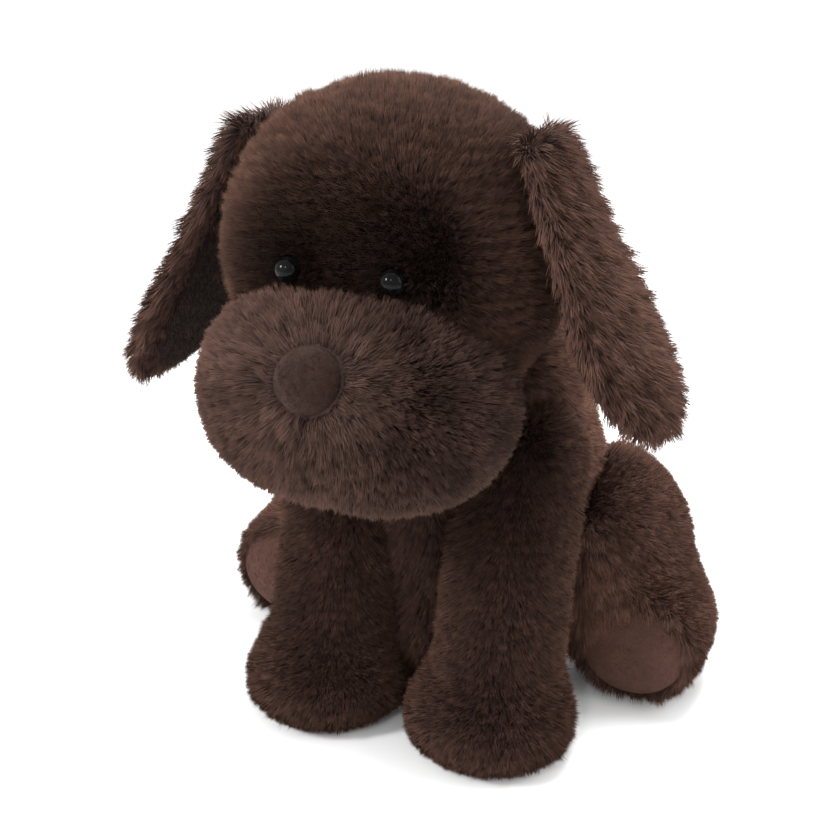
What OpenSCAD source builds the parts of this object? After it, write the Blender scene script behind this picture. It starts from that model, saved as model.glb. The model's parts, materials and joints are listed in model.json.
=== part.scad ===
// Sitting plush dog. Millimetres, +Z up, the dog faces -Y and its left side is +X.
// The origin is on the ground, at the middle of the whole animal's length and width.
// Every cover is a closed bag of pile fabric, modelled at the height of its pressed pile,
// and the filling inside it is a separate solid.

/* [Head] */
// Radius of the round head
head_r = 60; // [58:0.5:61]
// How far the flattened face lies in front of the head's centre
face_flat = 46; // [44:0.5:50]
// Half width of the crown panel, between the two side panels
crown_half_w = 47; // [44:0.5:49]

/* [Muzzle and nose] */
// Radius of the muzzle's round section
muzzle_r = 38; // [36:0.5:39]
// Distance between the two ends of the muzzle's centre line
muzzle_span = 36; // [30:1:40]
// Radius of the nose
nose_r = 12; // [10:0.5:13]

/* [Eyes] */
// Radius of an eye bead
eye_r = 4.5; // [4:0.1:5.5]
// Sideways distance of an eye from the middle
eye_x = 19.4; // [18:0.2:22]
// Radius of the shank behind the bead
shank_r = 1.5; // [1.2:0.1:2]

/* [Ears] */
// Width of the ear at its seam on the head
ear_top_w = 36; // [30:1:40]
// Radius of the ear's round lower end
ear_tip_r = 33; // [28:1:36]
// Length of the ear from the seam to the middle of its round lower end
ear_drop = 76; // [70:1:80]
// Angle of the hanging ear away from the vertical
ear_splay = 27; // [24:1:32]

/* [Body] */
// Radius of the rump and of the chest
body_r = 50; // [48:0.5:50]
// Width of the body between the two hips
hip_w = 101; // [101:1:103]
// Radius of the seat panel that the dog sits on
seat_r = 34; // [30:1:35]

/* [Legs] */
// Radius of a foreleg at the shoulder
shoulder_r = 26; // [24:0.5:26]
// Radius of a foreleg above its paw
wrist_r = 25; // [23:0.5:25]
// Radius of a front paw
paw_r = 32; // [30:0.5:33]
// Radius of a thigh
thigh_r = 42; // [40:0.5:42.5]
// Radius of a hind foot
foot_r = 27; // [25:0.5:28]
// Radius of the smooth sole on a hind foot
sole_r = 23; // [20:0.5:24]
// Length of a hind foot
foot_len = 32; // [28:1:36]

/* [Tail] */
// Radius of the tail at its root
tail_root_r = 13; // [11:0.5:13]
// Radius of the tail at its tip
tail_tip_r = 11; // [9:0.5:11]

/* [Fabric] */
// Thickness of the pile fabric with its pile pressed down
cover_t = 6; // [5:0.5:7]
// Thickness of the smooth fabric of the nose, soles and ear linings
smooth_t = 3; // [2:0.5:3]

/* [Hidden] */
$fn = 72;

// Clearances: between pieces of one body, between bodies, and round a limb's swept path.
// A waist is a little slimmer than the balls that it joins, and a heel a little thicker than its foot.
fit_gap = 0.2;
joint_gap = 0.5;
swing_gap = 1;
waist_ratio = 0.99;
heel_extra = 1;
big = 400;

// Colours
fur = [0.20, 0.13, 0.10];
velvet = [0.12, 0.08, 0.07];
suede = [0.36, 0.20, 0.15];
bead = [0.02, 0.02, 0.02];
fill = [0.92, 0.91, 0.88];
clear_plastic = [0.80, 0.80, 0.80];

// Places that everything hangs on
head_c = [0, -48, 205];
muzzle_c = [0, -85, 164];
nose_c = [0, -118, 179];
eye_z = 208;
ear_hinge = [53, -50, 245];
rump_c = [0, 18, 50];
chest_c = [0, 10, 132];
shoulder_c = [37, -12, 116];
wrist_c = [38, -38, 30];
paw_c = [38, -42, 0];
hip_c = [hip_w / 2, 44, 52];
foot_c = [84, 3, foot_r + heel_extra];
tail_root = [0, 66, 64];
tail_tip = [0, 119, 82];
tail_socket_r = 16;

// The tight wad of filling in the neck
neck_r = 18;
neck_t = 12;

// Face plane, eye hardware and ear build-up
face_y = head_c.y - face_flat;
shank_len = 12;
washer_r = 6.5;
washer_t = 1.2;
ear_outer_t = 7;
ear_knuckle_r = 5.5;
ear_inset = 6;
seat_t = 3;

// Legs: the paw's rounded edges, and the outline that a foreleg sweeps (y, z)
paw_h = 36;
paw_edge = 15;
paw_low_edge = 6;
swing_top = [-27, 141];
swing_far = [-82, 110];
swing_low = [-82, 10];

// Points of an arc about c, from angle a to angle b
function arc(c, r, a, b, n = 6) =
    [for (i = [0:n]) c + r * [cos(a + (b - a) * i / n), sin(a + (b - a) * i / n)]];

// Puts its children at p with their Z axis towards q
module aim(p, q) {
    d = q - p;
    translate(p)
        rotate([0, acos(d.z / norm(d)), atan2(d.y, d.x)])
            children();
}

// The cone between two balls, a little slimmer than they are
module waist(p, q, rp, rq) {
    aim(p, q)
        cylinder(h = norm(q - p), r1 = rp * waist_ratio, r2 = rq * waist_ratio);
}

module pod(p, q, rp, rq) {
    aim(p, q)
        sphere(rp);
    waist(p, q, rp, rq);
    aim(q, p)
        sphere(rq);
}

// A disc that stands on z = 0, with its upper and its lower edge rounded
module soft_disc(r, h, edge, low_edge) {
    rotate_extrude()
        polygon(concat([[0, 0]],
            arc([r - low_edge, low_edge], low_edge, -90, 0),
            arc([r - edge, h - edge], edge, 0, 90),
            [[0, h]]));
}

module mirrored(side) {
    mirror([side < 0 ? 1 : 0, 0, 0])
        children();
}

module half_space_x(from, to) {
    translate([from, -big / 2, -big / 4])
        cube([to - from, big, big]);
}

// ---- Forms: the outer shape of each soft part, grown by g ----

module head_form(g) {
    intersection() {
        translate(head_c)
            rotate([90, 0, 0])
                sphere(head_r + g, $fn = 96);
        translate([-big / 2, face_y - g, 0])
            cube([big, big, big]);
    }
}

module muzzle_form(g) {
    half = [muzzle_span / 2, 0, 0];
    pod(muzzle_c - half, muzzle_c + half, muzzle_r + g, muzzle_r + g);
}

module paw_form(g) {
    translate([paw_c.x, paw_c.y, fit_gap - g])
        soft_disc(paw_r + g, paw_h + 2 * g, paw_edge + g, paw_low_edge + g);
}

module foreleg_form(g) {
    pod(shoulder_c, wrist_c, shoulder_r + g, wrist_r + g);
    paw_form(g);
}

// The thigh is half a ball, flat against the body, so that it turns on its hip
module hindleg_form(g) {
    intersection() {
        translate(hip_c)
            rotate([0, 90, 0])
                sphere(thigh_r + g);
        half_space_x(hip_c.x - g, big);
    }
    translate(foot_c + [0, foot_len, 0])
        rotate([90, 0, 0]) {
            cylinder(h = foot_len + g, r = foot_r + g);
            sphere(foot_r + heel_extra + g);
        }
}

module tail_form(g) {
    pod(tail_root, tail_tip, tail_root_r + g, tail_tip_r + g);
}

// The space that a foreleg needs as it swings forward from where it hangs
module foreleg_path(g) {
    half = shoulder_r + g - fit_gap;
    translate(shoulder_c)
        rotate([90, 0, 0])
            sphere(shoulder_r + g);
    waist(shoulder_c, wrist_c, shoulder_r + g, wrist_r + g);
    paw_form(g);
    translate([shoulder_c.x - half, 0, 0])
        rotate([90, 0, 90])
            linear_extrude(2 * half)
                polygon([[shoulder_c.y, shoulder_c.z], swing_top, swing_far, swing_low,
                    [wrist_c.y, wrist_c.z]]);
}

// The chest ball's pole points at the head's centre
module body_ball(g) {
    translate(rump_c)
        sphere(body_r + g);
    waist(rump_c, chest_c, body_r + g, body_r + g);
    aim(chest_c, head_c)
        sphere(body_r + g);
}

// Everything that the body makes room for: head, forelegs, tail and seat panel
module body_openings() {
    translate(head_c)
        sphere(head_r + joint_gap, $fn = 96);
    foreleg_path(swing_gap);
    mirrored(-1)
        foreleg_path(swing_gap);
    translate(tail_root)
        sphere(tail_socket_r);
    translate([-big / 2, -big / 2, seat_t + fit_gap - big])
        cube([big, big, big]);
}

// ---- Head ----

module shank_bore(r) {
    for (side = [-1, 1])
        translate([side * eye_x, face_y + shank_len + 2, eye_z])
            rotate([90, 0, 0])
                cylinder(h = shank_len + 4, r = r);
}

module head_cover() {
    difference() {
        head_form(0);
        head_form(-cover_t);
        shank_bore(shank_r + fit_gap);
    }
}

module crown_panel() {
    color(fur)
        intersection() {
            head_cover();
            half_space_x(-crown_half_w, crown_half_w);
        }
}

module head_side(side) {
    color(fur)
        mirrored(side)
            intersection() {
                head_cover();
                half_space_x(crown_half_w + fit_gap, big / 2);
            }
}

module head_stuffing() {
    color(fill)
        difference() {
            head_form(-cover_t - fit_gap);
            shank_bore(washer_r + fit_gap);
        }
}

module muzzle_cover(side) {
    color(fur)
        mirrored(side)
            difference() {
                intersection() {
                    muzzle_form(0);
                    half_space_x(fit_gap / 2, big / 2);
                }
                muzzle_form(-cover_t);
                head_form(fit_gap);
            }
}

module muzzle_stuffing() {
    color(fill)
        difference() {
            muzzle_form(-cover_t - fit_gap);
            head_form(fit_gap);
        }
}

module nose_cover() {
    color(suede)
        difference() {
            translate(nose_c)
                sphere(nose_r);
            translate(nose_c)
                sphere(nose_r - smooth_t / 2);
            muzzle_form(fit_gap);
        }
}

module nose_stuffing() {
    color(fill)
        difference() {
            translate(nose_c)
                sphere(nose_r - smooth_t / 2 - fit_gap);
            muzzle_form(fit_gap);
        }
}

// A half bead with its shank, which goes through the face
module eye(side) {
    color(bead) {
        intersection() {
            translate([side * eye_x, face_y - fit_gap - 1, eye_z])
                sphere(eye_r);
            translate([-big / 2, face_y - fit_gap - big, 0])
                cube([big, big, big]);
        }
        translate([side * eye_x, face_y + shank_len, eye_z])
            rotate([90, 0, 0])
                cylinder(h = shank_len + fit_gap + 1, r = shank_r);
    }
}

// The lock washer that grips the shank behind the fabric
module eye_washer(side) {
    color(clear_plastic)
        translate([side * eye_x, face_y + cover_t + fit_gap + washer_t, eye_z])
            rotate([90, 0, 0])
                difference() {
                    cylinder(h = washer_t, r = washer_r);
                    translate([0, 0, -1])
                        cylinder(h = washer_t + 2, r = shank_r + 0.05);
                }
}

// A tight wad in the neck opening, between the head and the filling of the body
module neck_wad(r, inner, outer) {
    aim(head_c, chest_c)
        intersection() {
            difference() {
                sphere(outer, $fn = 96);
                sphere(inner, $fn = 96);
            }
            cylinder(h = big / 2, r = r);
        }
}

module neck_stuffing() {
    color(fill)
        neck_wad(neck_r, head_r + joint_gap, head_r + joint_gap + neck_t);
}

// ---- Ears ----

// Outline of an ear, its seam along the top, made smaller all round by inset
module ear_outline(inset) {
    r = ear_tip_r - inset;
    top = ear_top_w / 2 - inset;
    polygon(concat(arc([0, -ear_drop], r, -175, -5, 24), [[top, -inset], [-top, -inset]]));
}

module ear_place(side) {
    mirrored(side)
        translate(ear_hinge)
            rotate([0, -ear_splay, 0])
                children();
}

module ear_sheet(from, thick, inset) {
    translate([from, 0, 0])
        rotate([90, 0, 90])
            linear_extrude(thick)
                ear_outline(inset);
}

module ear_outer(side) {
    color(fur)
        ear_place(side) {
            ear_sheet(-1.5, ear_outer_t, 0);
            translate([0, ear_top_w / 2, 0])
                rotate([90, 0, 0])
                    cylinder(h = ear_top_w, r = ear_knuckle_r);
        }
}

module ear_lining(side) {
    color(velvet)
        ear_place(side)
            ear_sheet(-1.5 - fit_gap - smooth_t, smooth_t, ear_inset);
}

// ---- Body ----

module body_side(side) {
    color(fur)
        mirrored(side)
            difference() {
                intersection() {
                    body_ball(0);
                    half_space_x(fit_gap / 2, big / 2);
                }
                body_ball(-cover_t);
                body_openings();
            }
}

module seat_panel() {
    color(fur)
        translate([rump_c.x, rump_c.y, 0])
            cylinder(h = seat_t, r = seat_r);
}

module body_stuffing() {
    color(fill)
        difference() {
            body_ball(-cover_t - fit_gap);
            body_openings();
            neck_wad(neck_r + joint_gap, head_r, head_r + neck_t + 2 * joint_gap);
        }
}

// ---- Legs and tail ----

module foreleg_cover(side) {
    color(fur)
        mirrored(side)
            difference() {
                foreleg_form(0);
                foreleg_form(-cover_t);
            }
}

module foreleg_stuffing(side) {
    color(fill)
        mirrored(side)
            foreleg_form(-cover_t - fit_gap);
}

module hindleg_cover(side) {
    color(fur)
        mirrored(side)
            difference() {
                hindleg_form(0);
                hindleg_form(-cover_t);
            }
}

module hindleg_stuffing(side) {
    color(fill)
        mirrored(side)
            hindleg_form(-cover_t - fit_gap);
}

module sole(side) {
    color(suede)
        mirrored(side)
            translate([foot_c.x, foot_c.y - fit_gap, foot_c.z])
                rotate([90, 0, 0])
                    soft_disc(sole_r, smooth_t, smooth_t / 2, smooth_t / 4);
}

module tail_cover() {
    color(fur)
        difference() {
            tail_form(0);
            tail_form(-cover_t + 1);
        }
}

module tail_stuffing() {
    color(fill)
        tail_form(-cover_t + 1 - fit_gap);
}

crown_panel();
head_side(1);  // head_side_left
head_side(-1);  // head_side_right
head_stuffing();
muzzle_cover(1);  // muzzle_left
muzzle_cover(-1);  // muzzle_right
muzzle_stuffing();
nose_cover();
nose_stuffing();
eye(1);  // eye_left
eye(-1);  // eye_right
eye_washer(1);  // eye_washer_left
eye_washer(-1);  // eye_washer_right
neck_stuffing();
ear_outer(1);  // ear_outer_left
ear_outer(-1);  // ear_outer_right
ear_lining(1);  // ear_lining_left
ear_lining(-1);  // ear_lining_right
body_side(1);  // body_side_left
body_side(-1);  // body_side_right
seat_panel();
body_stuffing();
foreleg_cover(1);  // foreleg_cover_left
foreleg_cover(-1);  // foreleg_cover_right
foreleg_stuffing(1);  // foreleg_stuffing_left
foreleg_stuffing(-1);  // foreleg_stuffing_right
hindleg_cover(1);  // hindleg_cover_left
hindleg_cover(-1);  // hindleg_cover_right
hindleg_stuffing(1);  // hindleg_stuffing_left
hindleg_stuffing(-1);  // hindleg_stuffing_right
sole(1);  // sole_left
sole(-1);  // sole_right
tail_cover();
tail_stuffing();
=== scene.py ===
"""The looks of a sitting plush dog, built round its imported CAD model.

Shapes are worked out in millimetres, in the CAD frame, as signed distance fields: negative inside a part.
Each soft part gets a stuffed skin, which lies close to the CAD surface, and a pile of fine blades that grows
out of it.
"""

import json
import math

import bpy
import numpy as np
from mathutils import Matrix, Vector


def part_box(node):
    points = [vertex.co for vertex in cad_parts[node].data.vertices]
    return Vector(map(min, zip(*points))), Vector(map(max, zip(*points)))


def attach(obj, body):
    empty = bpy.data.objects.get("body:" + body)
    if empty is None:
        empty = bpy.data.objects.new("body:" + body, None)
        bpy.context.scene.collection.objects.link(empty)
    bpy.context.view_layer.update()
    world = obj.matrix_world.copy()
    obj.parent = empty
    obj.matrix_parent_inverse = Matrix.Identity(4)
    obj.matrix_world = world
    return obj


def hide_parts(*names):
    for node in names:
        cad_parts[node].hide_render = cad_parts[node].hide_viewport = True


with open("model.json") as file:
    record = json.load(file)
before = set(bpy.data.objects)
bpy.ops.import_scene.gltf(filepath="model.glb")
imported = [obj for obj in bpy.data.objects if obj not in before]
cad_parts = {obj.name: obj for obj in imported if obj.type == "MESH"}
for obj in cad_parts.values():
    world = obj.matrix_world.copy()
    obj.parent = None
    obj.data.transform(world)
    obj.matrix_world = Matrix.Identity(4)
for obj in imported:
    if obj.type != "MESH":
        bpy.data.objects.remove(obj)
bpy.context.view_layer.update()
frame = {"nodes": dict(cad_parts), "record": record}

MM = 0.001

# ---------------------------------------------------------------- camera

CAMERA_AT = Vector((0.1823, -0.4441, 0.3174))
CAMERA_AIM = Vector((-0.0109, -0.0045, 0.1211))
CAMERA_LENS = 52.8
CAMERA_SENSOR = 36

camera_data = bpy.data.cameras.new("camera")
camera_data.lens = CAMERA_LENS
camera_data.sensor_width = CAMERA_SENSOR
camera_data.clip_start = 0.01
camera = bpy.data.objects.new("camera", camera_data)
bpy.context.scene.collection.objects.link(camera)
camera.location = CAMERA_AT
camera.rotation_euler = (CAMERA_AIM - CAMERA_AT).to_track_quat("-Z", "Y").to_euler()
bpy.context.scene.camera = camera

# ---------------------------------------------------------------- places, in millimetres, from the CAD


def box_mm(node):
    low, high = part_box(node)
    return np.array(low) / MM, np.array(high) / MM


crown_lo, crown_hi = box_mm("crown_panel")
HEAD_R = (crown_hi[2] - crown_lo[2]) / 2
HEAD = np.array([0, crown_hi[1] - HEAD_R, crown_hi[2] - HEAD_R])
FACE_Y = crown_lo[1]
SIDE_OUT = 13
SIDE_UP = 7
CROWN_HALF = crown_hi[0]

muzzle_lo, muzzle_hi = box_mm("muzzle_left")
MUZZLE_R = 38
MUZZLE_HALF = muzzle_hi[0] - MUZZLE_R
MUZZLE = np.array([0, muzzle_lo[1] + MUZZLE_R, muzzle_lo[2] + MUZZLE_R])
JOWL = MUZZLE - [0, 0, 3]
JOWL_R = np.array([54.0, 38, 34])

nose_lo, nose_hi = box_mm("nose_cover")
NOSE_R = 12
NOSE = np.array([0, nose_lo[1] + NOSE_R, nose_hi[2] - NOSE_R])

eye_lo, eye_hi = box_mm("eye_left")
EYE = np.array([(eye_lo[0] + eye_hi[0]) / 2, FACE_Y, (eye_lo[2] + eye_hi[2]) / 2])

BODY_R = box_mm("body_side_left")[1][0]
RUMP = np.array([0, 18.0, 50.0])
CHEST = np.array([0, 10.0, 132.0])
HAUNCH = RUMP + [0, 14, 46]
HAUNCH_R = np.array([58.0, 40, 50])
BELLY = RUMP + [0, -22, -20]
BELLY_R = np.array([30.0, 30, 28])
SEAT_Z = 1.5

leg_lo, leg_hi = box_mm("foreleg_cover_left")
SHOULDER_R = 26
WRIST_R = 25
SHOULDER = np.array([37.0, -12.0, leg_hi[2] - SHOULDER_R])
WRIST = np.array([38.0, -38.0, 30.0])
PAW_R = (leg_hi[0] - leg_lo[0]) / 2
PAW = np.array([(leg_lo[0] + leg_hi[0]) / 2, leg_lo[1] + PAW_R, 18.0])
PAW_BALL = PAW + [-1, -1, -5]
PAW_BALL_R = np.array([PAW_R + 2.0, PAW_R + 1.5, 24.5])

hind_lo, hind_hi = box_mm("hindleg_cover_left")
sole_lo, sole_hi = box_mm("sole_left")
HIP_X = hind_lo[0]
THIGH_R = 42
HIP = np.array([HIP_X, 44.0, hind_hi[2] - THIGH_R])
FOOT_R = 27
FOOT = np.array([(sole_lo[0] + sole_hi[0]) / 2, sole_hi[1], (sole_lo[2] + sole_hi[2]) / 2])
FOOT_LEN = 32
SOLE_R = (sole_hi[0] - sole_lo[0]) / 2

TAIL_ROOT_R = 13
TAIL_TIP_R = 11
TAIL_ROOT = np.array([0, 66.0, 64.0])
TAIL_TIP = box_mm("tail_cover")[1] * [0, 1, 1] - [0, TAIL_TIP_R, TAIL_TIP_R]

THIGH_PLUMP = 4.0
LEG_GROUND = 0.4

EAR_HINGE = np.array([53.0, -50.0, 245.0])
EAR_SPLAY = math.radians(27)
EAR_TOP_R = 18
EAR_TIP_R = 33
EAR_DROP = 76
EAR_BULGE = -1.5
EAR_THICK = 5.0
EAR_INSET = -0.5
EAR_SHORT = {1: 7.0, -1: 0.0}

# ---------------------------------------------------------------- distance fields


def ball(p, c, r):
    """A sphere round c. In every field p is a list of points, and the result is a distance for each."""
    return np.linalg.norm(p - c, axis=1) - r


def oval(p, c, r):
    """An ellipsoid with half-lengths r."""
    q = (p - c) / r
    k0 = np.linalg.norm(q, axis=1) + 1e-9
    k1 = np.linalg.norm(q / r, axis=1) + 1e-9
    return k0 * (k0 - 1) / k1


def pod(p, a, b, ra, rb):
    """A round bar from a to b, with a radius at each end."""
    d = b - a
    h = np.clip(((p - a) @ d) / (d @ d), 0, 1)
    return np.linalg.norm(p - a - h[:, None] * d, axis=1) - (ra + (rb - ra) * h)


def union(a, b, k):
    """What is in a or in b, blended over k."""
    h = np.maximum(k - np.abs(a - b), 0) / k
    return np.minimum(a, b) - h * h * k / 4


def cut(a, b, k):
    """What is in a and in b, with its edge rounded by k."""
    return -union(-a, -b, k)


def turned(p, centre, degrees):
    """The points turned back about the X axis through a centre, so that a field of them is turned forward."""
    a = math.radians(degrees)
    y, z = p[:, 1] - centre[1], p[:, 2] - centre[2]
    return np.stack([p[:, 0], centre[1] + y * math.cos(a) - z * math.sin(a),
                     centre[2] + y * math.sin(a) + z * math.cos(a)], 1)


def mirrored(p, side):
    return p * np.array([side, 1, 1])


def grown(field, by):
    return lambda p: field(p) - by


def head_form(p):
    d = ball(p, HEAD, HEAD_R)
    for side in (1, -1):
        d = union(d, ball(p, HEAD + [SIDE_OUT * side, 0, SIDE_UP], HEAD_R - SIDE_OUT), 8)
    return cut(d, FACE_Y - p[:, 1], 5)


def muzzle_form(p):
    half = np.array([MUZZLE_HALF, 0, 0])
    d = pod(p, MUZZLE - half, MUZZLE + half, MUZZLE_R, MUZZLE_R)
    return union(d, oval(p, JOWL, JOWL_R), 10)


def body_form(p):
    d = pod(p, RUMP, CHEST, BODY_R + 1, BODY_R + 3)
    return union(union(d, oval(p, HAUNCH, HAUNCH_R), 14), oval(p, BELLY, BELLY_R), 14)


def foreleg_form(p):
    leg = pod(p, SHOULDER, WRIST, SHOULDER_R, WRIST_R)
    return cut(union(leg, oval(p, PAW_BALL, PAW_BALL_R), 12), LEG_GROUND - p[:, 2], 4)


SWING_STEPS = (0, 12, 24, 36, 46)


def foreleg_path(p):
    """The room that a foreleg sweeps through as it swings forward."""
    return np.min([foreleg_form(turned(p, SHOULDER, degrees)) for degrees in SWING_STEPS], axis=0)


def hindleg_form(p, plump=THIGH_PLUMP):
    thigh = cut(ball(p, HIP + [0, 0, plump / 2], THIGH_R + plump), HIP_X + 0.5 - p[:, 0], 5)
    back = FOOT + [0, FOOT_LEN, 0]
    tube = pod(p, FOOT, back, FOOT_R, FOOT_R + 1)
    tube = cut(tube, FOOT[1] - p[:, 1], 8)
    return cut(union(thigh, tube, 14), LEG_GROUND - p[:, 2], 5)


def tail_form(p):
    return pod(p, TAIL_ROOT, TAIL_TIP, TAIL_ROOT_R, TAIL_TIP_R)


def ear_local(p):
    """An ear's own axes: out from the head, along the seam, and up. The bulge is taken out of the first."""
    c, s = math.cos(EAR_SPLAY), math.sin(EAR_SPLAY)
    q = p - EAR_HINGE
    out, up = q[:, 0] * c + q[:, 2] * s, -q[:, 0] * s + q[:, 2] * c
    t = np.clip(-up / (EAR_DROP + EAR_TIP_R), 0, 1)
    bulge = EAR_BULGE * np.sin(math.pi * np.minimum(t * 1.15, 1)) - 3 * (q[:, 1] / 30) ** 2 * t
    return np.stack([out - bulge, q[:, 1], up], 1)


def ear_outline(q, inset, short):
    """The ear seen from its side: narrow at the seam, wide and round at the tip."""
    drop = EAR_DROP - short
    h = np.clip(-q[:, 2] / drop, 0, 1)
    d = np.hypot(q[:, 1], q[:, 2] + drop * h) - (EAR_TOP_R + (EAR_TIP_R - EAR_TOP_R) * h) + inset
    return cut(d, q[:, 2] - 4 + inset, 3)


def ear_form(p, short, inset=EAR_INSET, middle=1.0, thick=EAR_THICK):
    q = ear_local(p)
    return cut(ear_outline(q, inset, short), np.abs(q[:, 0] - middle) - thick / 2, 4)


# ---------------------------------------------------------------- meshes

CORNERS = [(i, j, k) for i in (0, 1) for j in (0, 1) for k in (0, 1)]


def gradient(field, p, step=0.4):
    """The way out of a field at each point."""
    g = np.stack([field(p + e) - field(p - e) for e in np.eye(3) * step], 1)
    return g / (np.linalg.norm(g, axis=1, keepdims=True) + 1e-9)


def net(field, low, high, step):
    """The zero surface of a field as a mesh of quads, by surface nets."""
    size = np.ceil((high - low) / step).astype(int) + 1
    axes = [low[i] + step * np.arange(size[i]) for i in range(3)]
    grid = np.stack(np.meshgrid(*axes, indexing="ij"), -1)
    f = field(grid.reshape(-1, 3)).reshape(size)
    inside = f < 0
    n = size - 1
    part = {c: f[c[0]:c[0] + n[0], c[1]:c[1] + n[1], c[2]:c[2] + n[2]] for c in CORNERS}
    count = sum((part[c] < 0).astype(int) for c in CORNERS)
    active = (count > 0) & (count < 8)
    ids = np.full(n, -1)
    ids[active] = np.arange(active.sum())
    total, hits = np.zeros((active.sum(), 3)), np.zeros(active.sum())
    for a in CORNERS:
        for axis in range(3):
            if a[axis]:
                continue
            b = tuple(a[i] + (i == axis) for i in range(3))
            fa, fb = part[a][active], part[b][active]
            cross = (fa < 0) != (fb < 0)
            t = np.where(cross, fa / np.where(cross, fa - fb, 1), 0)
            point = np.array(a, float) + t[:, None] * np.eye(3)[axis]
            total += point * cross[:, None]
            hits += cross
    verts = (np.argwhere(active) + total / hits[:, None]) * step + low
    faces = []
    for axis in range(3):
        u, v = (axis + 1) % 3, (axis + 2) % 3
        first = [slice(1, -1)] * 3
        first[axis] = slice(0, -1)
        second = list(first)
        second[axis] = slice(1, None)
        a, b = inside[tuple(first)], inside[tuple(second)]
        at = np.argwhere(a != b) + np.array([0 if i == axis else 1 for i in range(3)])
        out = a[a != b]
        eu, ev = np.eye(3, dtype=int)[u], np.eye(3, dtype=int)[v]
        quad = np.stack([ids[tuple((at - d).T)] for d in (eu + ev, ev, 0 * eu, eu)], 1)
        quad[~out] = quad[~out][:, ::-1]
        faces.append(quad)
    for _ in range(3):
        d = field(verts)
        verts = verts - np.clip(d, -step, step)[:, None] * gradient(field, verts)
    return verts, np.concatenate(faces)


def mesh_object(name, verts, faces, material):
    """An object from points in millimetres and faces with the same number of corners each."""
    mesh = bpy.data.meshes.new(name)
    n, k = faces.shape
    mesh.vertices.add(len(verts))
    mesh.vertices.foreach_set("co", (verts * MM).astype(np.float32).ravel())
    mesh.loops.add(n * k)
    mesh.loops.foreach_set("vertex_index", faces.ravel().astype(np.int32))
    mesh.polygons.add(n)
    mesh.polygons.foreach_set("loop_start", np.arange(0, n * k, k, dtype=np.int32))
    mesh.update(calc_edges=True)
    mesh.shade_smooth()
    mesh.materials.append(material)
    obj = bpy.data.objects.new(name, mesh)
    bpy.context.scene.collection.objects.link(obj)
    return obj


def vertex_numbers(obj, what):
    """Three numbers of each vertex: its "co" in metres or its "normal"."""
    numbers = np.empty(len(obj.data.vertices) * 3, np.float32)
    obj.data.vertices.foreach_get(what, numbers)
    return numbers.reshape(-1, 3)


def points_of(obj):
    return vertex_numbers(obj, "co").astype(float) / MM


# ---------------------------------------------------------------- skins and their filling

SIM_FRAMES = 20
SEAM_WIDTH = 5
MOST_SWELL = 1.35
CLOTH_SETTINGS = {"quality": 6, "mass": 0.15, "tension_stiffness": 12, "compression_stiffness": 12,
                  "bending_stiffness": 0.4, "use_pressure": True, "uniform_pressure_force": 4}
cloths = []


def skin(name, body, field, low, high, step, material, fill, replaces, slot, swell=0.0, seam=None):
    """A stuffed part's cloth: its mesh, its body and the CAD nodes that it stands for. Its fill is not used.

    Its surface is looked for between the corners low and high, in cells of a step. With a swell it starts
    that much smaller, to be blown out by its filling between its seams, where seam(p) is 0.
    """
    start = grown(field, -swell) if swell else field
    verts, faces = net(start, np.array(low, float), np.array(high, float), step)
    obj = mesh_object(name, verts, faces, material)
    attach(obj, body)
    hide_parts(*replaces)
    if swell:
        cloths.append((obj, swell, seam))
    return obj


def add_cloth(obj, seam):
    """Makes a skin a cloth under pressure that is held near its seams."""
    held = obj.vertex_groups.new(name="held")
    for i, weight in enumerate(np.clip(1 - seam(points_of(obj)) / SEAM_WIDTH, 0, 1)):
        if weight > 0:
            held.add([i], float(weight), "REPLACE")
    cloth = obj.modifiers.new("stuffing", "CLOTH")
    for what, value in CLOTH_SETTINGS.items():
        setattr(cloth.settings, what, value)
    cloth.settings.effector_weights.gravity = 0
    cloth.settings.vertex_group_mass = "held"
    cloth.collision_settings.use_collision = False
    cloth.point_cache.frame_start, cloth.point_cache.frame_end = 1, SIM_FRAMES


def simulate():
    """Runs all the cloths at once, and gives how far each skin's points have moved."""
    for obj, swell, seam in cloths:
        add_cloth(obj, seam)
    for number in range(1, SIM_FRAMES + 1):
        bpy.context.scene.frame_set(number)
    graph = bpy.context.evaluated_depsgraph_get()
    moves = []
    for obj, swell, seam in cloths:
        moves.append(vertex_numbers(obj.evaluated_get(graph), "co") / MM - points_of(obj))
        obj.modifiers.remove(obj.modifiers["stuffing"])
        obj.vertex_groups.clear()
    bpy.context.scene.frame_set(1)
    return moves


def refine(obj):
    """Bakes one level of subdivision into a skin."""
    finer = obj.modifiers.new("finer", "SUBSURF")
    finer.levels = finer.render_levels = 1
    mesh = bpy.data.meshes.new_from_object(obj.evaluated_get(bpy.context.evaluated_depsgraph_get()))
    obj.modifiers.remove(finer)
    old, obj.data = obj.data, mesh
    bpy.data.meshes.remove(old)
    mesh.name = obj.name


def stuff_all():
    """Fills every skin that has a swell, with a cap on each move."""
    moves = simulate()
    for (obj, swell, seam), move in zip(cloths, moves):
        far = np.linalg.norm(move, axis=1, keepdims=True)
        points = points_of(obj) + move * np.minimum(1, MOST_SWELL * swell / (far + 1e-9))
        obj.data.vertices.foreach_set("co", (points * MM).astype(np.float32).ravel())
        obj.data.update()
    for obj, swell, seam in cloths:
        refine(obj)


# ---------------------------------------------------------------- pile

PRIMES = np.array([[73856093, 19349663, 83492791],
                   [39916801, 479001599, 6700417],
                   [15485863, 32452843, 49979687]])
SEED_STEP = 7919
MIXERS = (1274126177, 668265263)
WHOLE_BITS = 0x7FFFFFFF
LOW_BITS = 0xFFFFF
CELL_SHIFT = 512
CELLS = 1024


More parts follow.
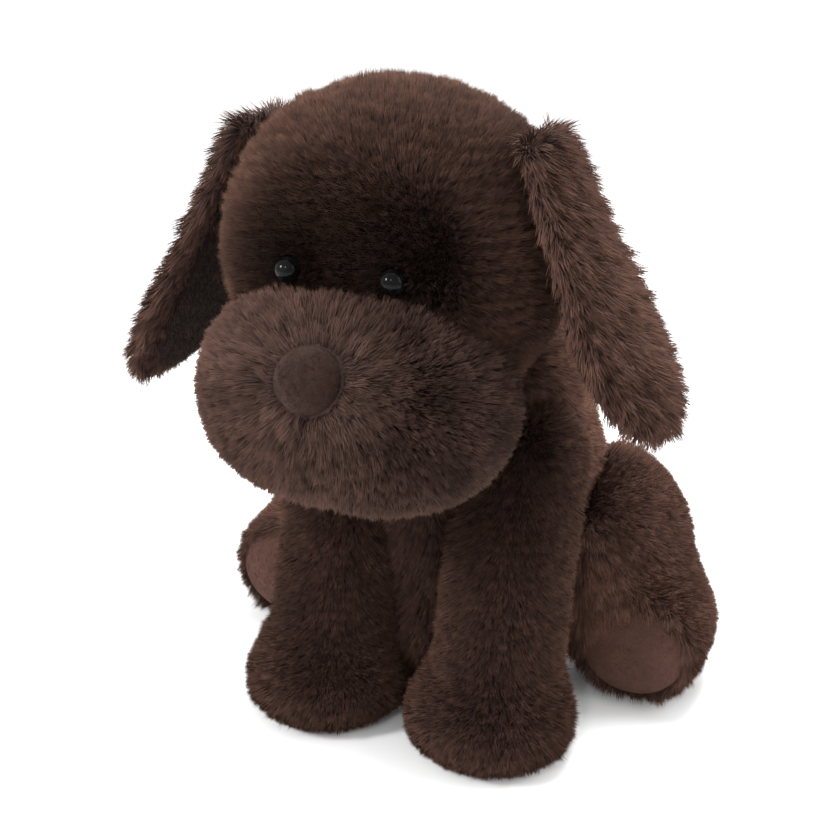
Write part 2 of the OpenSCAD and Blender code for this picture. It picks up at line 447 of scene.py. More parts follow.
def cell_noise(cell, seed):
    """Three numbers from 0 to 1 for each whole-number cell."""
    h = (cell @ PRIMES.T + seed * SEED_STEP) & WHOLE_BITS
    h = ((h ^ (h >> 13)) * MIXERS[0]) & WHOLE_BITS
    h = ((h ^ (h >> 16)) * MIXERS[1]) & WHOLE_BITS
    return (h & LOW_BITS) / float(LOW_BITS)


def tufts(p, size, seed):
    """For each point, the number of the nearest of the scattered tuft centres."""
    base = np.floor(p / size).astype(np.int64)
    best = np.full(len(p), 1e9)
    key = np.zeros(len(p), np.int64)
    for off in np.stack(np.meshgrid(*[[-1, 0, 1]] * 3, indexing="ij"), -1).reshape(-1, 3):
        cell = base + off
        centre = (cell + cell_noise(cell, seed)) * size
        d = ((p - centre) ** 2).sum(1)
        near = d < best
        best[near] = d[near]
        c = cell[near] + CELL_SHIFT
        key[near] = (c[:, 0] * CELLS + c[:, 1]) * CELLS + c[:, 2]
    _, index = np.unique(key, return_inverse=True)
    return index


def mean_by(index, values):
    """The mean of the values of each tuft."""
    n = index.max() + 1
    count = np.bincount(index, minlength=n)
    return np.stack([np.bincount(index, values[:, i], n) / count for i in range(values.shape[1])], 1)


def unit(v):
    return v / (np.linalg.norm(v, axis=1, keepdims=True) + 1e-9)


def triangles(obj):
    """A skin's points, the points of each of its triangles, and the normals of its points."""
    mesh = obj.data
    mesh.calc_loop_triangles()
    corners = np.empty(len(mesh.loop_triangles) * 3, np.int32)
    mesh.loop_triangles.foreach_get("vertices", corners)
    return points_of(obj), corners.reshape(-1, 3), vertex_numbers(obj, "normal").astype(float)


# lengths in millimetres, angles in radians, and the rest as shares of 1
ROOT_GAP = 0.3
ROOT_DEPTH = 0.5
TUFT_TURN = 0.16
TUFT_SIZE = 0.09
BLADE_VARY = 0.10
LEAST_LEAN = 0.02
MOST_LEAN = 1.45
SHORTENINGS = 3
SHORTER = 0.62
BLADE_TURN = 0.9
BLADE_KINK = 0.05
TIP_WIDTH = 0.5
UV_STEPS = 8
UV_MARGIN = 0.02


def scattered(skin_obj, count, keep, clear, rng):
    """Random roots on a skin, outside the clear fields, and the skin's normal at each."""
    points, corners, normals = triangles(skin_obj)
    a, b, c = points[corners[:, 0]], points[corners[:, 1]], points[corners[:, 2]]
    area = np.linalg.norm(np.cross(b - a, c - a), axis=1)
    if keep is not None:
        area = area * keep((a + b + c) / 3)
    pick = rng.choice(len(corners), count, p=area / area.sum())
    r = rng.random((count, 2))
    flip = r.sum(1) > 1
    r[flip] = 1 - r[flip]
    weight = np.stack([1 - r.sum(1), r[:, 0], r[:, 1]], 1)[:, :, None]
    root = (points[corners[pick]] * weight).sum(1)
    normal = unit((normals[corners[pick]] * weight).sum(1))
    for field in clear:
        out = field(root) > ROOT_GAP
        root, normal = root[out], normal[out]
    return root, normal


def along(root, normal, comb, lean, length, s):
    """Points at the share s of the blades' length. A blade rises and then leans over along its comb."""
    up = np.cos(lean) * s * (1 - 0.18 * s * np.sin(lean))
    over = np.sin(lean) * s ** 1.25
    return root + (length * up)[:, None] * normal + (length * over)[:, None] * comb


def gathered(blades, index, gather, s):
    """The same points, drawn towards the mean blade of each tuft."""
    own = along(*blades, s)
    mean = mean_by(index, np.column_stack(blades))[index]
    shared = along(mean[:, :3], unit(mean[:, 3:6]), unit(mean[:, 6:9]), mean[:, 9], mean[:, 10], s)
    return own + (gather * s ** 1.3) * (shared - own)


def blade_mesh(name, rings, normal, length, tint, shade, width, material, rng):
    """Flat blades that taper to a point. Each ring holds one point of every blade, from the root to the tip.

    The colour attribute holds the share of the length, the tint and the shade. The UV layer for baking holds
    the share of the length in U, and one of its strips for each step of shade and tint in V.
    """
    n, segments = len(normal), len(rings) - 1
    swing = rng.normal(0, BLADE_TURN, (n, 3))
    kink = rng.normal(0, BLADE_KINK, (n, 3)) * length[:, None]
    last = UV_STEPS - 1
    strip = np.round(np.clip(shade / 2, 0, 1) * last) * UV_STEPS + np.round(tint * last) + 0.5
    verts, normals, paint, places = [], [], [], []
    for i, ring in enumerate(rings):
        s = i / segments
        direction = unit(rings[min(i + 1, segments)] - rings[max(i - 1, 0)])
        sideways = unit(np.cross(normal + 0.55 * swing, direction))
        facing = np.cross(direction, sideways)
        outward = np.where((facing * normal).sum(1) < 0, -1, 1)[:, None]
        half = width * (1 - TIP_WIDTH * s) / 2 * (sideways * outward)
        share = np.full(n, s)
        for edge in (1, -1) if i < segments else (0,):
            verts.append(ring + kink * s * s + edge * half)
            normals.append(unit(0.6 * normal + 0.6 * (facing * outward) + 0.15 * swing))
            paint.append(np.column_stack([share, tint, shade, np.ones(n)]))
            places.append(np.column_stack([share, strip - 0.4 * edge]))
    verts, normals, paint, places = [np.stack(corner, 1).reshape(n * len(corner), -1)
                                     for corner in (verts, normals, paint, places)]
    places = places * [1 - 2 * UV_MARGIN, 1 / UV_STEPS ** 2] + [UV_MARGIN, 0]
    per = 2 * segments + 1
    one = []
    for j in range(0, per - 3, 2):
        one += [(j, j + 1, j + 3), (j, j + 3, j + 2)]
    one.append((per - 3, per - 2, per - 1))
    faces = (np.arange(n)[:, None, None] * per + np.array(one)[None]).reshape(-1, 3)
    obj = mesh_object(name, verts, faces, material)
    attribute = obj.data.attributes.new("pile", "FLOAT_COLOR", "POINT")
    attribute.data.foreach_set("color", paint.astype(np.float32).ravel())
    strips = obj.data.uv_layers.new(name="OFBake")
    strips.data.foreach_set("uv", places[faces.ravel()].astype(np.float32).ravel())
    obj.data.normals_split_custom_set_from_vertices(normals)
    return obj


def pile(name, skin_obj, count, look, material, seed, segments=1, width=0.44, tuft=3.0, gather=0.25, wild=0.2,
         keep=None, clear=()):
    """Blades that grow out of a skin.

    look(p, n) gives each root's comb direction, lean in radians, length in millimetres and shade, where 1 is
    the material's own colour. keep(p) says how much pile there is at a place. A blade is left out if it
    starts in one of the clear fields, and shortened where its tip is in one.
    """
    rng = np.random.default_rng(seed)
    root, normal = scattered(skin_obj, count, keep, clear, rng)
    n = len(root)
    index = tufts(root, tuft, seed)
    groups = index.max() + 1
    tuft_turn = rng.normal(0, TUFT_TURN, (groups, 3))[index]
    tuft_size = 1 + rng.normal(0, TUFT_SIZE, groups)[index]
    tint = 0.5 * rng.random(groups)[index] + 0.5 * rng.random(n)

    comb, lean, length, shade = look(root, normal)
    comb = unit(comb - (comb * normal).sum(1)[:, None] * normal)
    comb = unit(comb + tuft_turn + rng.normal(0, wild, (n, 3)))
    lean = np.clip(lean + rng.normal(0, BLADE_VARY, n), LEAST_LEAN, MOST_LEAN)
    length = length * tuft_size * (1 + rng.normal(0, BLADE_VARY, n))
    for _ in range(SHORTENINGS if clear else 0):
        tip = gathered((root, normal, comb, lean, length), index, gather, 1.0)
        inside = np.min([field(tip) for field in clear], axis=0) < 0
        length = np.where(inside, length * SHORTER, length)

    blades = (root, normal, comb, lean, length)
    rings = [gathered(blades, index, gather, i / segments) for i in range(segments + 1)]
    rings[0] = rings[0] - ROOT_DEPTH * normal
    obj = blade_mesh(name, rings, normal, length, tint, shade, width, material, rng)
    obj.parent = skin_obj


# ---------------------------------------------------------------- materials


SHEEN_ROUGH = 0.5


def new_material(name, rough, sheen=0.0, sheen_tint=(1, 1, 1), specular=0.5):
    material = bpy.data.materials.new(name)
    material.use_nodes = True
    tree = material.node_tree
    shader = tree.nodes["Principled BSDF"]
    shader.inputs["Roughness"].default_value = rough
    shader.inputs["Specular IOR Level"].default_value = specular
    shader.inputs["Sheen Weight"].default_value = sheen
    shader.inputs["Sheen Roughness"].default_value = SHEEN_ROUGH
    shader.inputs["Sheen Tint"].default_value = (*sheen_tint, 1)
    return material, tree, shader


def ramp_node(tree, stops):
    node = tree.nodes.new("ShaderNodeValToRGB")
    elements = node.color_ramp.elements
    while len(elements) < len(stops):
        elements.new(0.5)
    for element, (at, color) in zip(elements, stops):
        element.position = at
        element.color = (*color, 1)
    return node


def math_node(tree, operation, *values):
    node = tree.nodes.new("ShaderNodeMath")
    node.operation = operation
    for socket, value in zip(node.inputs, values):
        if isinstance(value, (int, float)):
            socket.default_value = value
        else:
            tree.links.new(value, socket)
    return node.outputs[0]


def noise_node(tree, scale, detail=3.0):
    place = tree.nodes.new("ShaderNodeTexCoord")
    node = tree.nodes.new("ShaderNodeTexNoise")
    node.inputs["Scale"].default_value = scale
    node.inputs["Detail"].default_value = detail
    tree.links.new(place.outputs["Object"], node.inputs["Vector"])
    return node.outputs["Fac"]


def scaled(tree, color, factor):
    node = tree.nodes.new("ShaderNodeVectorMath")
    node.operation = "SCALE"
    tree.links.new(color, node.inputs[0])
    tree.links.new(factor, node.inputs["Scale"])
    return node.outputs[0]


PILE_ROUGH = 0.7
PILE_SHEEN = 0.12
PILE_SHEEN_TINT = (0.85, 0.5, 0.36)
PILE_SPECULAR = 0.06
CLOTH_SHEEN = 0.1
CLOTH_SHEEN_TINT = (0.8, 0.6, 0.5)
CLOTH_SPECULAR = 0.1
BUMP_HEIGHT = 0.0006


def pile_attribute(tree):
    """Reads a piece's colour attribute: for blades the share of the length, the tint and the shade."""
    node = tree.nodes.new("ShaderNodeAttribute")
    node.attribute_name = "pile"
    return node


def pile_material(name, stops, vary=1.0):
    """Blades that are dark at the root and lighter at the tip, with each tuft a little different. The lighter
    tips are partly the fibre's own tone and partly painted light shining through them.
    """
    material, tree, shader = new_material(name, PILE_ROUGH, PILE_SHEEN, PILE_SHEEN_TINT, PILE_SPECULAR)
    parts = tree.nodes.new("ShaderNodeSeparateColor")
    tree.links.new(pile_attribute(tree).outputs["Color"], parts.inputs[0])
    share, tint, shade = parts.outputs
    ramp = ramp_node(tree, stops)
    tree.links.new(share, ramp.inputs[0])
    tuft = math_node(tree, "MULTIPLY_ADD", tint, vary, 1 - vary / 2)
    patch = math_node(tree, "MULTIPLY_ADD", noise_node(tree, 45, 2), 0.7, 0.65)
    factor = math_node(tree, "MULTIPLY", math_node(tree, "MULTIPLY", tuft, patch), shade)
    tree.links.new(scaled(tree, ramp.outputs[0], factor), shader.inputs["Base Color"])
    return material


def cloth_material(name, dark, light, scale, rough, bump, shaded=False):
    """Short-napped or knitted cloth, mottled and with a fine grain. Shaded, it is as light as its pile."""
    material, tree, shader = new_material(name, rough, CLOTH_SHEEN, CLOTH_SHEEN_TINT, CLOTH_SPECULAR)
    grain = noise_node(tree, scale, 6)
    fine = math_node(tree, "MULTIPLY", grain, 0.55)
    patch = math_node(tree, "MULTIPLY", noise_node(tree, scale / 24, 3), 0.45)
    ramp = ramp_node(tree, [(0.35, dark), (0.65, light)])
    tree.links.new(math_node(tree, "ADD", fine, patch), ramp.inputs[0])
    color = ramp.outputs[0]
    if shaded:
        color = scaled(tree, color, pile_attribute(tree).outputs["Fac"])
    tree.links.new(color, shader.inputs["Base Color"])
    node = tree.nodes.new("ShaderNodeBump")
    node.inputs["Strength"].default_value = bump
    node.inputs["Distance"].default_value = BUMP_HEIGHT
    tree.links.new(grain, node.inputs["Height"])
    tree.links.new(node.outputs[0], shader.inputs["Normal"])
    return material


FUR_STOPS = [(0.0, (0.017, 0.0105, 0.0105)), (0.45, (0.034, 0.0195, 0.0185)), (1.0, (0.082, 0.040, 0.026))]
# The muzzle's pile is the same fur with lighter roots and darker tips: painted light in the shade deep among
# its blades, and painted shade against the light on the front of the face.
MUZZLE_STOPS = [(0.0, (0.026, 0.0155, 0.0135)), (0.4, (0.036, 0.0205, 0.0175)), (1.0, (0.070, 0.038, 0.029))]
GROUND_DARK = (0.014, 0.0088, 0.0088)
GROUND_LIGHT = (0.030, 0.0175, 0.0165)
# The muzzle's ground is lighter than the rest of the ground: painted light in the shade between its blades.
MUZZLE_DARK = (0.022, 0.0135, 0.0115)
MUZZLE_LIGHT = (0.048, 0.029, 0.025)
SUEDE_DARK = (0.045, 0.021, 0.016)
SUEDE_LIGHT = (0.080, 0.038, 0.029)
SUEDE_TIP = (0.088, 0.043, 0.033)
VELVET_DARK = (0.006, 0.0038, 0.0038)
VELVET_LIGHT = (0.012, 0.0078, 0.0075)
VELVET_TIP = (0.016, 0.0098, 0.0088)

fur_mat = pile_material("dark brown pile", FUR_STOPS)
muzzle_mat = pile_material("muzzle pile", MUZZLE_STOPS)
suede_nap_mat = pile_material("suede nap", [(0.0, SUEDE_DARK), (1.0, SUEDE_TIP)], vary=0.3)
velvet_nap_mat = pile_material("velvet nap", [(0.0, VELVET_DARK), (1.0, VELVET_TIP)])
ground_mat = cloth_material("dense pile", GROUND_DARK, GROUND_LIGHT, 1500, 0.85, 0.6, True)
muzzle_ground_mat = cloth_material("dense muzzle pile", MUZZLE_DARK, MUZZLE_LIGHT, 1500, 0.85, 0.6, True)
suede_mat = cloth_material("reddish brown suede", SUEDE_DARK, SUEDE_LIGHT, 1400, 0.8, 0.35, True)
velvet_mat = cloth_material("near-black velvet", VELVET_DARK, VELVET_LIGHT, 1500, 0.9, 0.3)
fibre_mat = cloth_material("polyester fibre filling", (0.62, 0.61, 0.58), (0.9, 0.89, 0.86), 500, 0.95, 0.8)


def bead_material():
    material, tree, shader = new_material("black eye plastic", 0.08, specular=0.07)
    ramp = ramp_node(tree, [(0.4, (0.002, 0.002, 0.002)), (0.6, (0.006, 0.005, 0.005))])
    tree.links.new(noise_node(tree, 300), ramp.inputs[0])
    tree.links.new(ramp.outputs[0], shader.inputs["Base Color"])
    shader.inputs["Coat Weight"].default_value = 0.05
    shader.inputs["Coat Roughness"].default_value = 0.03
    return material


def washer_material():
    material, tree, shader = new_material("milky washer plastic", 0.35)
    ramp = ramp_node(tree, [(0.3, (0.6, 0.6, 0.58)), (0.7, (0.75, 0.75, 0.72))])
    tree.links.new(noise_node(tree, 200), ramp.inputs[0])
    tree.links.new(ramp.outputs[0], shader.inputs["Base Color"])
    return material


NODE_LOOKS = {"fur": fur_mat, "velvet": velvet_mat, "suede": suede_mat, "eye_plastic": bead_material(),
              "washer_plastic": washer_material(), "fibre_fill": fibre_mat}
for part in frame["record"]["subparts"]:
    node = frame["nodes"][part["node"]]
    node.data.materials.clear()
    node.data.materials.append(NODE_LOOKS[part["material_slot"]])

# ---------------------------------------------------------------- the skins of the dog

HEAD_DEPTH = 0.4
BODY_DEPTH = 0.2
LEG_DEPTH = 0.2
MUZZLE_DEPTH = 0.6
TAIL_DEPTH = 2.4
SWELL = 1.8
TAIL_SWELL = 1.2
LINING_MIDDLE = -2.4
LINING_THICK = 2.6
LINING_IN = 2.5
FAR = 99


def at_side(field, side):
    return lambda p: field(mirrored(p, side))


def head_skin_field(p):
    return cut(head_form(p) + HEAD_DEPTH, FACE_Y + 0.6 - p[:, 1], 7)


def muzzle_skin_field(p):
    """The muzzle, drawn in along its centre seam below the nose."""
    d = muzzle_form(p) + MUZZLE_DEPTH
    seam = np.hypot(p[:, 0], np.maximum(p[:, 2] - NOSE[2], 0)) - 0.5
    return d + 1.6 * np.exp(-(np.maximum(seam, 0) / 2.2) ** 2) * (p[:, 1] < MUZZLE[1])


def torso_skin_field(p):
    """The body, with room for the head and for the legs as they move."""
    d = body_form(p) + BODY_DEPTH
    d = cut(d, -ball(p, HEAD, HEAD_R), 6)
    for side in (1, -1):
        d = cut(d, -1.5 - foreleg_path(mirrored(p, side)), 4)
        d = cut(d, -1.5 - hindleg_form(mirrored(p, side), 0), 4)
    return cut(d, SEAT_Z - p[:, 2], 10)


def hindleg_skin_field(p):
    return cut(hindleg_form(p) + LEG_DEPTH, HIP_X + 0.6 - p[:, 0], 3)


def nose_field(p):
    return oval(p, NOSE, np.array([NOSE_R - 0.6, NOSE_R - 0.8, NOSE_R - 1.0]))


def sole_field(p):
    front = FOOT + [0, 1.5, 0]
    return cut(oval(p, front, np.array([SOLE_R, 6.4, SOLE_R - 1.5])), p[:, 1] - FOOT[1] - 1.5, 1.5)


def crown_seams(p):
    return np.abs(np.abs(p[:, 0]) - CROWN_HALF)


def chin_seam(p):
    return np.where(p[:, 2] < NOSE[2], np.abs(p[:, 0]), FAR)


def centre_seam(p):
    return np.abs(p[:, 0])


def leg_seam(p):
    return np.abs(p[:, 1] - SHOULDER[1] + 6)


def foot_seam(p):
    return p[:, 1] - FOOT[1] - 4


def mirror_box(low, high, side):
    low, high = np.array(low, float), np.array(high, float)
    if side < 0:
        low[0], high[0] = -high[0], -low[0]
    return low, high


head_skin = skin("head_skin", "head", head_skin_field, [-64, -100, 140], [64, 20, 270], 4.5, ground_mat, 0.95,
                 ["crown_panel", "head_side_left", "head_side_right"], "fur", SWELL, crown_seams)
muzzle_skin = skin("muzzle_skin", "head", muzzle_skin_field, [-64, -130, 118], [64, -38, 208], 3.6,
                   muzzle_ground_mat, 0.9, ["muzzle_left", "muzzle_right"], "fur", SWELL, chin_seam)
nose_skin = skin("nose_skin", "head", nose_field, NOSE - 14, NOSE + 14, 0.9, suede_mat, 0.9, ["nose_cover"],
                 "suede")
torso_skin = skin("torso_skin", "torso", torso_skin_field, [-66, -50, -3], [66, 95, 195], 4.5, ground_mat,
                  0.8, ["body_side_left", "body_side_right", "seat_panel"], "fur", SWELL, centre_seam)
tail_skin = skin("tail_skin", "tail", grown(tail_form, -TAIL_DEPTH), [-16, 48, 44], [16, 134, 98], 3.0,
                 ground_mat, 0.7, ["tail_cover"], "fur", TAIL_SWELL, centre_seam)

SIDES = (("left", 1), ("right", -1))
legs, hinds, ears, linings, soles = {}, {}, {}, {}, {}
for word, side in SIDES:
    leg_field = at_side(grown(foreleg_form, -LEG_DEPTH), side)
    ear_field = at_side(lambda p: ear_form(p, EAR_SHORT[side]), side)
    lining_field = at_side(lambda p: ear_form(p, EAR_SHORT[side], EAR_INSET + LINING_IN, LINING_MIDDLE,
                                              LINING_THICK), side)
    legs[word] = skin(f"foreleg_skin_{word}", f"foreleg_{word}", leg_field,
                      *mirror_box([0, -84, -2], [78, 20, 146], side), 4.2, ground_mat, 0.75,
                      [f"foreleg_cover_{word}"], "fur", SWELL, leg_seam)
    hinds[word] = skin(f"hindleg_skin_{word}", f"hindleg_{word}", at_side(hindleg_skin_field, side),
                       *mirror_box([44, -4, -2], [116, 96, 102], side), 4.2, ground_mat, 0.75,
                       [f"hindleg_cover_{word}"], "fur", SWELL, foot_seam)
    soles[word] = skin(f"sole_pad_{word}", f"hindleg_{word}", at_side(sole_field, side),
                       *mirror_box(FOOT - [26, 8, 26], FOOT + [26, 6, 26], side), 1.2, suede_mat, 0.7,
                       [f"sole_{word}"], "suede")
    ears[word] = skin(f"ear_skin_{word}", f"ear_{word}", ear_field,
                      *mirror_box([40, -90, 125], [122, -8, 256], side), 1.8, ground_mat, 0.3,
                      [f"ear_outer_{word}"], "fur")
    linings[word] = skin(f"ear_lining_skin_{word}", f"ear_{word}", lining_field,
                         *mirror_box([36, -90, 125], [118, -8, 256], side), 1.3, velvet_mat, 0.1,
                         [f"ear_lining_{word}"], "velvet")

stuff_all()

# ---------------------------------------------------------------- the pile of the dog

# Each look sets its part's shade of the one fur. Besides real tone and rows, these shades are partly painted
# light and shade: a part that gets little light, such as the body under the head, is painted lighter, and a
# part in the light is painted darker.
HEAD_ROWS = 4.0
BODY_ROWS = 4.6
EYE_CLEAR = 3.4
WAVES = 5
WAVE_HEIGHT = 1.6


def rows(v, pitch):
    """Pile rows: 1 on a row and 0 between two rows."""
    return 0.5 + 0.5 * np.cos(v * 2 * math.pi / pitch)


def wobble(p, scale, seed):
    """A smooth uneven number at each point, around 0 and seldom beyond -1 or 1, from a few crossing waves."""
    rng = np.random.default_rng(seed)
    k = rng.normal(0, 1 / scale, (WAVES, 3))
    return np.sin(p @ k.T + rng.random(WAVES) * 7).mean(1) * WAVE_HEIGHT


def eye_gap(p):
    """How far each point is from the nearer eye."""
    return np.min([np.linalg.norm(p - EYE * [s, 1, 1] - [0, -2, 0], axis=1) for s in (1, -1)], axis=0)


def near_ground(p):
    """1 above the ground and less close to it, where the pile is short."""
    return np.clip((p[:, 2] + 1) / 9, 0.12, 1)


def head_look(p, n):
    """Combed back and short round the eyes, with painted shade that darkens the hollows round the eyes and
    the dog's left side.
    """
    comb = np.tile([0.0, 1.0, 0.1], (len(p), 1))
    near = eye_gap(p)
    row = rows(p[:, 2] + 0.15 * np.abs(p[:, 0]) + 0.9 * wobble(p, 9, 2), HEAD_ROWS)
    length = 5.9 - 0.8 * (1 - row) + 0.5 * wobble(p, 14, 3)
    length = length * np.clip((near + 5) / 12, 0.75, 1)
    away = unit(p - EYE * np.column_stack([np.sign(p[:, 0]), np.ones(len(p)), np.ones(len(p))]))
    close = np.clip(1 - near / 15, 0, 1)[:, None]
    comb = comb * (1 - close) + away * close
    lean = 0.30 - 0.1 * close[:, 0]
    shade = 0.86 + 0.2 * row + 0.12 * wobble(p, 6, 4)
    # Painted shade: darker towards the eyes, as in their hollows, and darker on the dog's left side, away
    # from the light.
    shade = shade * np.clip((near - 3) / 32, 0.12, 1) * (1 - 0.28 * np.clip((p[:, 0] - 18) / 30, 0, 1))
    return comb, lean, length, shade


def muzzle_look(p, n):
    """Combed away from the nose, with a dark centre seam, and with painted light and shade: lighter towards
    the dog's right side and darker towards its left.
    """
    away = p - NOSE
    far = np.linalg.norm(away, axis=1)
    comb = unit(away)
    lean = np.clip(1.25 - (far - NOSE_R) / 26, 0.3, 1.2)
    length = 8.0 - 2.8 * np.clip((far - 18) / 24, 0, 1) + 0.5 * wobble(p, 12, 5)
    length = length * np.clip(0.6 + (far - NOSE_R) / 14, 0.5, 1)
    above = (p[:, 2] > MUZZLE[2] + 20) & (p[:, 1] > MUZZLE[1] - 14)
    length = np.where(above, length * 0.85, length)
    seam = np.exp(-(p[:, 0] / 1.5) ** 2) * (p[:, 2] < NOSE[2]) * (far < 36)
    # Painted light and shade: the term in x makes the muzzle lighter on the dog's right and darker on its
    # left, as the light falls.
    shade = (1.05 + 0.25 * wobble(p, 5, 6) - 0.3 * p[:, 0] / 50) * (1 - 0.75 * seam)
    return comb, lean, length, shade


def torso_look(p, n):
    """Combed down and painted lighter than the rest of the fur, with painted shade that darkens it towards
    the chest between the forelegs.
    """
    row = rows(p[:, 2], BODY_ROWS)
    comb = np.tile([0.0, 0.25, -1.0], (len(p), 1))
    length = 5.6 - 0.8 * (1 - row) + 0.5 * wobble(p, 16, 7)
    low = np.clip((p[:, 2] - 4) / 12, 0.25, 1)
    # Painted shade: the factor below falls towards the front, between the forelegs. The body's 1.8 is painted
    # light for the shade under the head.
    back = np.clip((p[:, 1] + 45) / 60, 0.3, 1)
    return comb, np.full(len(p), 0.45), length * low, (1.8 + 0.45 * row) * back


def under_look(p, n):
    """The very short pile of the underside and of the places behind the legs."""
    comb, lean, length, shade = torso_look(p, n)
    return comb, np.full(len(p), 0.9), np.full(len(p), 1.8), shade


def foreleg_look(p, n):
    """Combed down the leg and outward on the paw."""
    paw = np.clip((42 - p[:, 2]) / 14, 0, 1)
    side = np.where(p[:, :1] > 0, 1, -1)
    out = p - side * np.array([PAW[0], 0, 0]) - np.array([0, PAW[1] + 12, 26])
    comb = (1 - paw)[:, None] * np.array([0.0, -0.05, -1.0]) + paw[:, None] * unit(out * [1, 1, 0.6])
    row = rows(p[:, 2], BODY_ROWS)
    length = 5.2 - 0.5 * (1 - row) + 0.5 * wobble(p, 13, 11)
    shade = (0.85 + 0.35 * paw) * (0.9 + 0.2 * row) + 0.1 * wobble(p, 6, 8)
    return comb, 0.42 - 0.1 * paw, length * near_ground(p), shade


def hindleg_look(p, n):
    """Combed down the thigh and forward on the foot, with a long fringe round the sole."""
    x = np.abs(p[:, 0])
    foot = np.clip((60 - p[:, 2]) / 16, 0, 1) * np.clip((32 - p[:, 1]) / 18, 0, 1)
    comb = np.stack([0.25 * np.sign(p[:, 0]), -0.7 * foot, -0.9 * (1 - 0.55 * foot)], 1)
    rim = np.clip((12 - p[:, 1]) / 10, 0, 1) * (p[:, 2] > 6)
    length = 5.6 + 7.0 * rim + 0.6 * wobble(p, 12, 13)
    face = (n[:, 1] < -0.75) & (np.hypot(x - FOOT[0], p[:, 2] - FOOT[2]) < SOLE_R - 2)
    length = np.where(face, 1.5, length)
    inner = np.clip((x - HIP_X) / 6, 0.3, 1)
    return comb, 0.45 + 0.3 * rim, length * near_ground(p) * inner, 1.4 + 0.2 * wobble(p, 6, 14)


def tail_look(p, n):
    """Combed along the tail towards its tip."""
    comb = np.tile(unit((TAIL_TIP - TAIL_ROOT)[None])[0], (len(p), 1))
    return comb, np.full(len(p), 0.8), 9.0 + 0.8 * wobble(p, 10, 17), np.ones(len(p))


def ear_look(p, n):
    """Long pile down the ear, shorter on the side with the lining."""
    comb = np.tile([0.454, 0, -0.891], (len(p), 1))
    comb[:, 0] *= np.sign(p[:, 0])
    comb[:, 1] += 0.04 * (p[:, 1] - EAR_HINGE[1])
    inner = ear_local(np.column_stack([np.abs(p[:, 0]), p[:, 1:]]))[:, 0] < 0.5
    length = np.where(inner, 4.0, 9.0) + 1.0 * wobble(p, 10, 19)
    top = np.clip((EAR_HINGE[2] - p[:, 2]) / 20, 0, 1)
    return comb, np.where(inner, 1.2, 0.70 + 0.20 * top), length, 1.25 + 0.1 * top


def nap_look(comb, length, lean, shade):
    """An even nap with one comb direction."""
    return lambda p, n: (np.tile(comb, (len(p), 1)), np.full(len(p), lean), np.full(len(p), length),
                         np.full(len(p), shade))


def off_bead(p):
    """Clear of the beads."""
    return np.hypot(np.abs(p[:, 0]) - EYE[0], p[:, 2] - EYE[2]) > EYE_CLEAR


def shade_ground(obj, look):
    """Gives a skin its pile's shades, painted light and shade among them, so that what shows between the
    blades agrees with them.
    """
    shade = look(points_of(obj), vertex_numbers(obj, "normal"))[3]
    attribute = obj.data.attributes.new("pile", "FLOAT_COLOR", "POINT")
    attribute.data.foreach_set("color", np.repeat(shade, 4).astype(np.float32))


def clear_of_legs(p, side):
    """Whether each point is outside the legs of a side."""
    q = mirrored(p, side)
    return (hindleg_form(q) > 2) & (foreleg_form(q) > 1.5)


# The nose gets about a third of the sole's shade on the same suede. This is painted shade against the light
# that falls on the front of the face.
nose_look = nap_look([0, 0.3, -1.0], 0.7, 1.05, 0.36)
sole_look = nap_look([0.4, 0, -1.0], 0.8, 1.1, 1.0)
shaded_skins = [(head_skin, head_look), (muzzle_skin, muzzle_look), (nose_skin, nose_look),
                (torso_skin, torso_look), (tail_skin, tail_look)]
for word in legs:
    shaded_skins += [(legs[word], foreleg_look), (hinds[word], hindleg_look), (ears[word], ear_look),
                     (soles[word], sole_look)]
for obj, look in shaded_skins:
    shade_ground(obj, look)

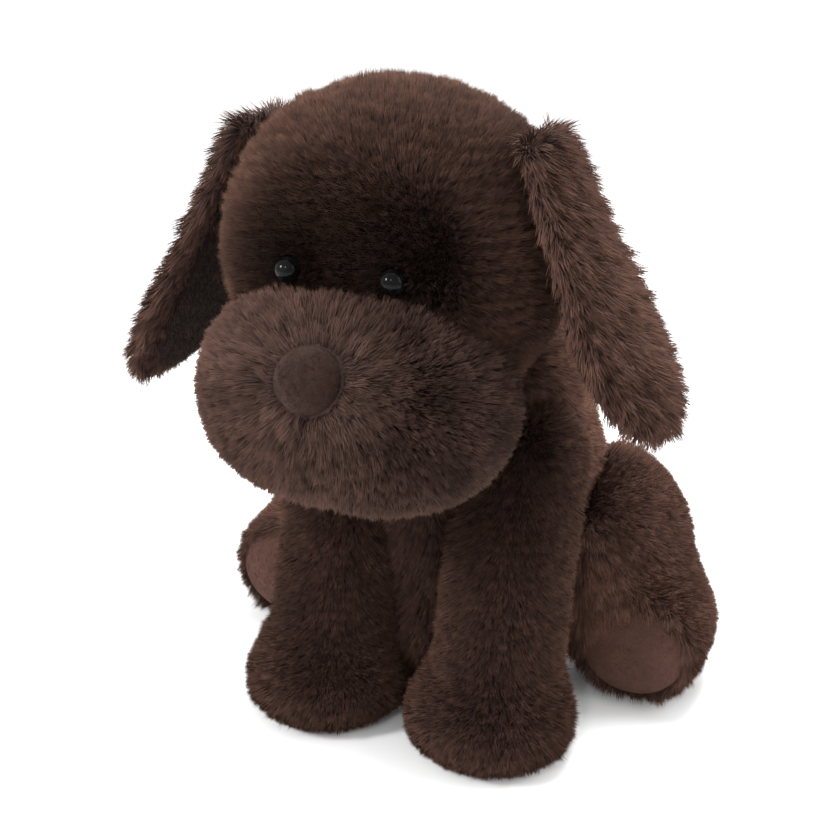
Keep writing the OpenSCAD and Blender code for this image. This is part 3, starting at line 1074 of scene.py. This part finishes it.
head_clear = [grown(muzzle_form, -4)]
pile("crown_pile_front", head_skin, 190000, head_look, fur_mat, 101, clear=head_clear, tuft=2.2,
     keep=lambda p: (p[:, 1] < -48) & (np.abs(p[:, 0]) < CROWN_HALF) & off_bead(p))
pile("crown_pile_back", head_skin, 150000, head_look, fur_mat, 102, tuft=2.6,
     keep=lambda p: (p[:, 1] >= -48) & (np.abs(p[:, 0]) < CROWN_HALF) & (body_form(p) > -2))
for word, side in SIDES:
    pile(f"head_side_pile_{word}", head_skin, 60000, head_look, fur_mat, 103 + side, clear=head_clear,
         keep=lambda p: p[:, 0] * side >= CROWN_HALF)
    pile(f"muzzle_pile_{word}", muzzle_skin, 64000, muzzle_look, muzzle_mat, 106 + side, segments=2,
         tuft=2.6, gather=0.4, width=0.42, clear=[nose_field],
         keep=lambda p: (1 + 2 * np.exp(-nose_field(p) / 12)) * (p[:, 0] * side > 0.35) * (head_form(p) > -3)
         * (nose_field(p) > -2))
    pile(f"foreleg_pile_{word}", legs[word], 185000, foreleg_look, fur_mat, 110 + side, tuft=2.6, gather=0.22)
    pile(f"hindleg_pile_{word}", hinds[word], 185000, hindleg_look, fur_mat, 113 + side, tuft=2.8,
         clear=[grown(at_side(sole_field, side), 0.3)])
    pile(f"torso_pile_{word}", torso_skin, 150000, torso_look, fur_mat, 116 + side,
         clear=[at_side(grown(foreleg_form, -4), side), at_side(grown(hindleg_form, -4), side),
                lambda p: ball(p, HEAD, HEAD_R - 4)],
         keep=lambda p: (p[:, 0] * side > 0) & (p[:, 2] > 2.5) & (ball(p, HEAD, HEAD_R + 3) > 0)
         & clear_of_legs(p, side))
    pile(f"torso_under_pile_{word}", torso_skin, 40000, under_look, fur_mat, 140 + side, tuft=2.6,
         keep=lambda p: (p[:, 0] * side > 0) & (~clear_of_legs(p, side) | (p[:, 2] <= 2.5)))
    pile(f"ear_pile_{word}", ears[word], 60000, ear_look, fur_mat, 119 + side, segments=2,
         tuft=2.6, gather=0.35, width=0.4, keep=lambda p: ear_local(mirrored(p, side))[:, 0] > -2.4)
    pile(f"ear_lining_nap_{word}", linings[word], 30000, nap_look([0.3 * side, 0, -1.0], 1.5, 1.0, 1.0),
         velvet_nap_mat, 122 + side, width=0.3, tuft=2.0, gather=0.05, wild=0.1,
         keep=lambda p: ear_local(mirrored(p, side))[:, 0] < -1.5)
    pile(f"sole_nap_{word}", soles[word], 24000, sole_look, suede_nap_mat, 125 + side, width=0.2, tuft=1.6,
         gather=0.05, wild=0.1, keep=lambda p: p[:, 1] < FOOT[1])
pile("tail_pile", tail_skin, 60000, tail_look, fur_mat, 130, keep=lambda p: body_form(p) > -1)
pile("nose_nap", nose_skin, 20000, nose_look, suede_nap_mat, 131, width=0.2, tuft=1.5,
     gather=0.05, wild=0.1, keep=lambda p: muzzle_form(p) > -4)

# ---------------------------------------------------------------- studio

FLOOR_HALF = 4.0
FLOOR_COLOR = (0.96, 0.96, 0.96, 1)
WORLD_LIGHT = 1.08
TOY_MIDDLE = (0, 0, 0.13)

floor_mat, _, floor_shader = new_material("pale floor", 0.9)
floor_shader.inputs["Base Color"].default_value = FLOOR_COLOR
floor_mesh = bpy.data.meshes.new("floor")
floor_corners = [(x * FLOOR_HALF, y * FLOOR_HALF, 0) for x, y in ((-1, -1), (1, -1), (1, 1), (-1, 1))]
floor_mesh.from_pydata(floor_corners, [], [(0, 1, 2, 3)])
floor_mesh.materials.append(floor_mat)
floor = bpy.data.objects.new("floor", floor_mesh)
bpy.context.scene.collection.objects.link(floor)

world = bpy.data.worlds.new("studio")
world.use_nodes = True
world.node_tree.nodes["Background"].inputs["Color"].default_value = (1, 1, 1, 1)
world.node_tree.nodes["Background"].inputs["Strength"].default_value = WORLD_LIGHT
bpy.context.scene.world = world


def softbox(name, at, size, power):
    """A round soft light that is aimed at the toy: place and size in metres, power in watts."""
    data = bpy.data.lights.new(name, "AREA")
    data.shape = "DISK"
    data.size = size
    data.energy = power
    obj = bpy.data.objects.new(name, data)
    bpy.context.scene.collection.objects.link(obj)
    obj.location = at
    obj.rotation_euler = (Vector(TOY_MIDDLE) - Vector(at)).to_track_quat("-Z", "Y").to_euler()


softbox("softbox_left", (-0.72, -0.85, 0.8), 0.3, 12)
softbox("softbox_right", (0.95, 0.15, 0.6), 0.9, 5)
softbox("softbox_top", (0.0, 0.35, 1.2), 0.8, 22)
softbox("softbox_glint", (0.1, -1.0, 0.85), 0.12, 2.5)
bpy.context.scene.view_settings.view_transform = "Standard"
bpy.context.scene.view_settings.look = "None"
